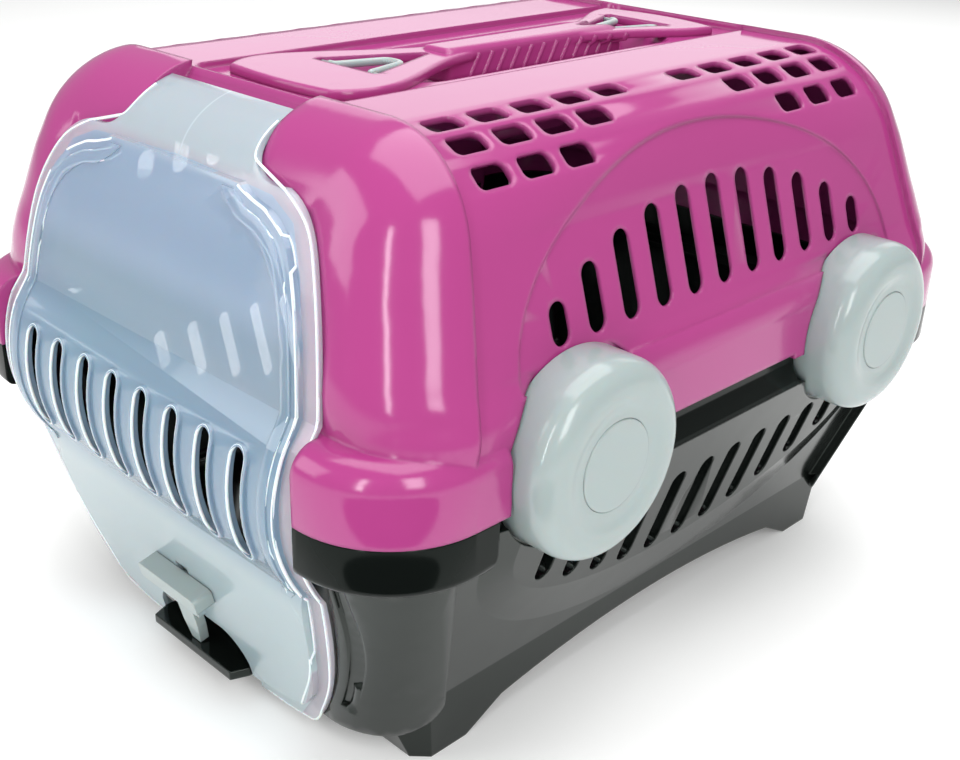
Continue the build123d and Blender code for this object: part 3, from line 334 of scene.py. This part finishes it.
doorShape = {  # half of the door's outline seen from the front, x and z in mm, from the top down
    "outline": [(51, 318), (51, 316), (54.5, 304), (66, 299.5), (82, 295.5), (103, 284),
                (116, 264), (124.5, 238), (130.5, 200), (130.5, 158), (130.5, 116), (119, 62),
                (102, 28), (90, 12), (70, 7.8), (48, 6)],
    "samples": 9,  # points from one corner to the next
    "sink": 0.6,  # how far the middle of a bead lies behind the face
    "ahead": -400,  # y of a place in front of the whole carrier
    # the beads' white finish is a painted highlight
    "finish": "milkyClearPaintedHighlight",
}
# white beads that paint highlights along the door's outer edge, its step and the edges of its
# raised band
doorLines = {  # in mm: how far a line lies inside the outline, its radius and the heights it spans
    "doorEdgeLine": {"inset": 1.0, "radius": 0.8, "lowest": 6, "highest": 316},
    "doorStepLine": {"inset": 11.4, "radius": 0.9, "lowest": 24, "highest": 292},
    "doorBeadLine": {"inset": 15.6, "radius": 0.5, "lowest": 113, "highest": 289},
    "doorInnerLine": {"inset": 20.9, "radius": 0.5, "lowest": 113, "highest": 289},
}


def smoothLine(corners, samples):
    # a smooth line through a few corners, which bends at each as its two neighbours ask
    line = []
    last = len(corners) - 1
    for i in range(last):
        before, start, end, after = (
            Vector(corners[min(max(k, 0), last)]) for k in (i - 1, i, i + 1, i + 2))
        for step in range(samples):
            t = step / samples
            bend = 2 * before - 5 * start + 4 * end - after
            twist = 3 * start - before - 3 * end + after
            line.append(0.5 * (2 * start + (end - before) * t + bend * t ** 2 + twist * t ** 3))
    return line + [Vector(corners[-1])]


def frontLine(node, inset, lowest, highest, sink):
    # points on a node's front, along the door's outline moved inward, right side from the top down
    flat = smoothLine(doorShape["outline"], doorShape["samples"])
    points = []
    for i, spot in enumerate(flat):
        run = (flat[min(i + 1, len(flat) - 1)] - flat[max(i - 1, 0)]).normalized()
        x = spot.x + run.y * inset
        z = spot.y - run.x * inset
        if lowest <= z <= highest:
            start = Vector((x, doorShape["ahead"], z)) * mm
            hit, place, normal, face = node.ray_cast(start, Vector((0, 1, 0)))
            if hit:
                points.append(place + Vector((0, sink * mm, 0)))
    return points


for name, line in doorLines.items():
    path = frontLine(nodes["front_door"], line["inset"], line["lowest"], line["highest"],
                     doorShape["sink"])
    for side, points in bothSides(path).items():
        roundBead(name + side, points, line["radius"] * mm, "door",
                  doorShape["finish"])
print("door lines:", 2 * len(doorLines))


slotRim = {  # the door's slots in mm, and the white bead round each rim, a painted highlight
    "count": 8, "pitch": 26.5, "width": 11.5, "low": 130.0, "high": 187.5,
    "lipRadius": 0.9, "endSteps": 10, "sideSteps": 9,
}


def slotLoop(middle):
    # a closed line round one slot, on the front of its rim
    radius = slotRim["width"] / 2
    reach = radius + slotRim["lipRadius"]
    low = slotRim["low"] + radius
    high = slotRim["high"] - radius
    flat = []  # across and up from the centre of a round end, and the height of that centre
    for centre, turn in ((high, 0), (low, math.pi)):
        for step in range(slotRim["endSteps"] + 1):
            angle = turn + math.pi * step / slotRim["endSteps"]
            flat.append((math.cos(angle), math.sin(angle), centre))
        side = math.cos(turn + math.pi)
        for step in range(1, slotRim["sideSteps"]):
            share = step / slotRim["sideSteps"]
            flat.append((side, 0, centre + (low + high - 2 * centre) * share))
    points = []
    for across, upward, centre in flat:
        start = Vector((middle + across * reach, doorShape["ahead"], centre + upward * reach)) * mm
        hit, place, normal, face = nodes["front_door"].ray_cast(start, Vector((0, 1, 0)))
        if hit:
            place.x = (middle + across * radius) * mm
            points.append(place + Vector((0, slotRim["lipRadius"] * mm, 0)))
    return points


for i in range(slotRim["count"]):
    middle = (i - (slotRim["count"] - 1) / 2) * slotRim["pitch"]
    roundBead("doorSlotLipHighlight%d" % (i + 1), slotLoop(middle), slotRim["lipRadius"] * mm, "door",
              doorShape["finish"], closed=True)
print("slot lips:", slotRim["count"])


grooveEnd = {  # in mm: the rounded lower end of the groove beside the door
    "inset": -10.5, "depth": 2.0, "radius": 4.4, "lowest": 34.0, "highest": 62.0}
ledgeBead = {"x": 183.9, "z": 151.9, "reach": 67.0, "radius": 0.9}  # in mm: along the tub's ledge


def addTubTrim():
    sink = grooveEnd["radius"] - grooveEnd["depth"]
    groove = frontLine(nodes["lower_tub"], grooveEnd["inset"], grooveEnd["lowest"],
                       grooveEnd["highest"], sink)
    ledge = [Vector((ledgeBead["x"], end * ledgeBead["reach"], ledgeBead["z"])) * mm
             for end in (-1, 1)]
    for name, shape, line in (("grooveEnd", grooveEnd, groove), ("ledgeBead", ledgeBead, ledge)):
        for side, points in bothSides(line).items():
            roundBead(name + side, points, shape["radius"] * mm, "carrier",
                      "charcoalPolypropyleneMoulded")


addTubTrim()
print("groove ends and ledge beads added")


gripRib = {  # in mm: the slanted finger ribs down both sides of the handle's grip
    "count": 12, "front": -24.0, "rear": 94.0, "low": 308.5, "high": 321.0, "slant": 7.0,
    "radius": 2.2, "sink": 1.2, "steps": 5, "beside": 60,
}


def gripRibs():
    for i in range(gripRib["count"]):
        along = i / (gripRib["count"] - 1)
        middle = gripRib["front"] + (gripRib["rear"] - gripRib["front"]) * along
        for side, name in ((1, "Right"), (-1, "Left")):
            points = []
            for step in range(gripRib["steps"] + 1):
                share = step / gripRib["steps"]
                start = Vector((
                    side * gripRib["beside"],
                    middle + (share - 0.5) * gripRib["slant"],
                    gripRib["low"] + (gripRib["high"] - gripRib["low"]) * share)) * mm
                hit, place, normal, face = nodes["carry_handle"].ray_cast(
                    start, Vector((-side, 0, 0)))
                if hit:
                    points.append(place - Vector((side * gripRib["sink"] * mm, 0, 0)))
            roundBead("gripRib%s%02d" % (name, i + 1), points, gripRib["radius"] * mm, "carrier",
                      "pinkPolypropyleneMoulded")


gripRibs()
print("grip ribs:", 2 * gripRib["count"])


studio = {"size": 9.0, "colour": "#F4F4F3", "roughness": 0.85, "glow": 0.16}


def makeFloor():
    mesh = bmesh.new()
    bmesh.ops.create_grid(mesh, x_segments=1, y_segments=1, size=studio["size"] / 2)
    data = bpy.data.meshes.new("studioFloor")
    mesh.to_mesh(data)
    mesh.free()
    floor = bpy.data.objects.new("studioFloor", data)
    bpy.context.scene.collection.objects.link(floor)
    paper = bpy.data.materials.new("matteStudioPaper")
    paper.use_nodes = True
    shader = paper.node_tree.nodes["Principled BSDF"]
    shader.inputs["Base Color"].default_value = linearColour(studio["colour"])
    shader.inputs["Roughness"].default_value = studio["roughness"]
    shader.inputs["Emission Color"].default_value = linearColour(studio["colour"])
    shader.inputs["Emission Strength"].default_value = studio["glow"]
    data.materials.append(paper)


# painted reflection: a black disc that only reflections show
flag = {"radius": 0.31, "segments": 64, "place": (0.485, -0.505, 0.001), "colour": "#050505"}


def makeFlag():
    # painted reflection: a black disc on the floor before the near corner, there only for the dark
    # reflection in the tub's plastic
    mesh = bmesh.new()
    bmesh.ops.create_circle(
        mesh, cap_ends=True, segments=flag["segments"], radius=flag["radius"])
    data = bpy.data.meshes.new("reflectionOnlyBlackSheet")
    mesh.to_mesh(data)
    mesh.free()
    cloth = bpy.data.objects.new("reflectionOnlyBlackSheet", data)
    bpy.context.scene.collection.objects.link(cloth)
    cloth.location = flag["place"]
    # only reflections show it, so that other views keep a plain floor
    cloth.visible_camera = cloth.visible_diffuse = cloth.visible_shadow = False
    velvet = bpy.data.materials.new("reflectionOnlyBlack")
    velvet.use_nodes = True
    shader = velvet.node_tree.nodes["Principled BSDF"]
    shader.inputs["Base Color"].default_value = linearColour(flag["colour"])
    shader.inputs["Roughness"].default_value = 1.0
    shader.inputs["Specular IOR Level"].default_value = 0.0
    data.materials.append(velvet)


makeFloor()
makeFlag()
print("floor and cloth laid")


lights = {  # sizes and places in metres, power in watts
    "keyPanel": {"size": (0.4, 0.9), "power": 9.0,
                 "place": (1.3, -0.6, 1.0), "aim": (0.1, 0.0, 0.2)},
    "stripPanel": {"size": (0.1, 0.9), "power": 4.0,
                   "place": (0.55, -1.3, 0.75), "aim": (0.1, -0.1, 0.2)},
    "fillPanel": {"size": (1.2, 1.2), "power": 14.0,
                  "place": (-1.0, -1.6, 1.1), "aim": (0.0, 0.0, 0.2)},
    "backPanel": {"size": (3.0, 1.4), "power": 14.0,
                  "place": (-1.3, 2.0, 1.3), "aim": (0.0, 0.0, 0.3)},
    "topPanel": {"size": (2.0, 2.0), "power": 44.0,
                 "place": (0.0, 0.3, 2.1), "aim": (0.0, 0.0, 0.2)},
}


def makeLight(name, light):
    data = bpy.data.lights.new(name, "AREA")
    data.shape = "RECTANGLE"
    data.size, data.size_y = light["size"]
    data.energy = light["power"]
    lamp = bpy.data.objects.new(name, data)
    bpy.context.scene.collection.objects.link(lamp)
    lamp.location = light["place"]
    aim = Vector(light["aim"]) - lamp.location
    lamp.rotation_euler = aim.to_track_quat("-Z", "Y").to_euler()


for name, light in lights.items():
    makeLight(name, light)

surround = {"colour": "#F6F7F8", "strength": 0.45}
world = bpy.data.worlds.new("paleStudio")
bpy.context.scene.world = world
world.use_nodes = True
background = world.node_tree.nodes["Background"]
background.inputs["Color"].default_value = linearColour(surround["colour"])
background.inputs["Strength"].default_value = surround["strength"]
bpy.context.scene.view_settings.view_transform = "Standard"
print("lights:", len(lights))


shot = {  # angles in degrees, place in metres, lens and sensor in mm
    "azimuth": 44.27, "elevation": 24.855, "roll": 1.742, "place": (0.5208, -0.5347, 0.4577),
    "lens": 48.51, "sensor": 36.0, "nearest": 0.01,
}


def makeCamera():
    azimuth, elevation, roll = (math.radians(shot[k]) for k in ("azimuth", "elevation", "roll"))
    back = Vector((math.sin(azimuth) * math.cos(elevation),
                   -math.cos(azimuth) * math.cos(elevation), math.sin(elevation)))
    level = Vector((math.cos(azimuth), math.sin(azimuth), 0))
    upright = back.cross(level)
    right = level * math.cos(roll) + upright * math.sin(roll)
    up = upright * math.cos(roll) - level * math.sin(roll)
    data = bpy.data.cameras.new("shotCamera")
    data.sensor_fit = "HORIZONTAL"
    data.sensor_width = shot["sensor"]
    data.lens = shot["lens"]
    data.clip_start = shot["nearest"]
    camera = bpy.data.objects.new("shotCamera", data)
    bpy.context.scene.collection.objects.link(camera)
    turn = Matrix((right, up, back)).transposed()
    camera.matrix_world = Matrix.Translation(shot["place"]) @ turn.to_4x4()
    bpy.context.scene.camera = camera


makeCamera()
print("camera ready")
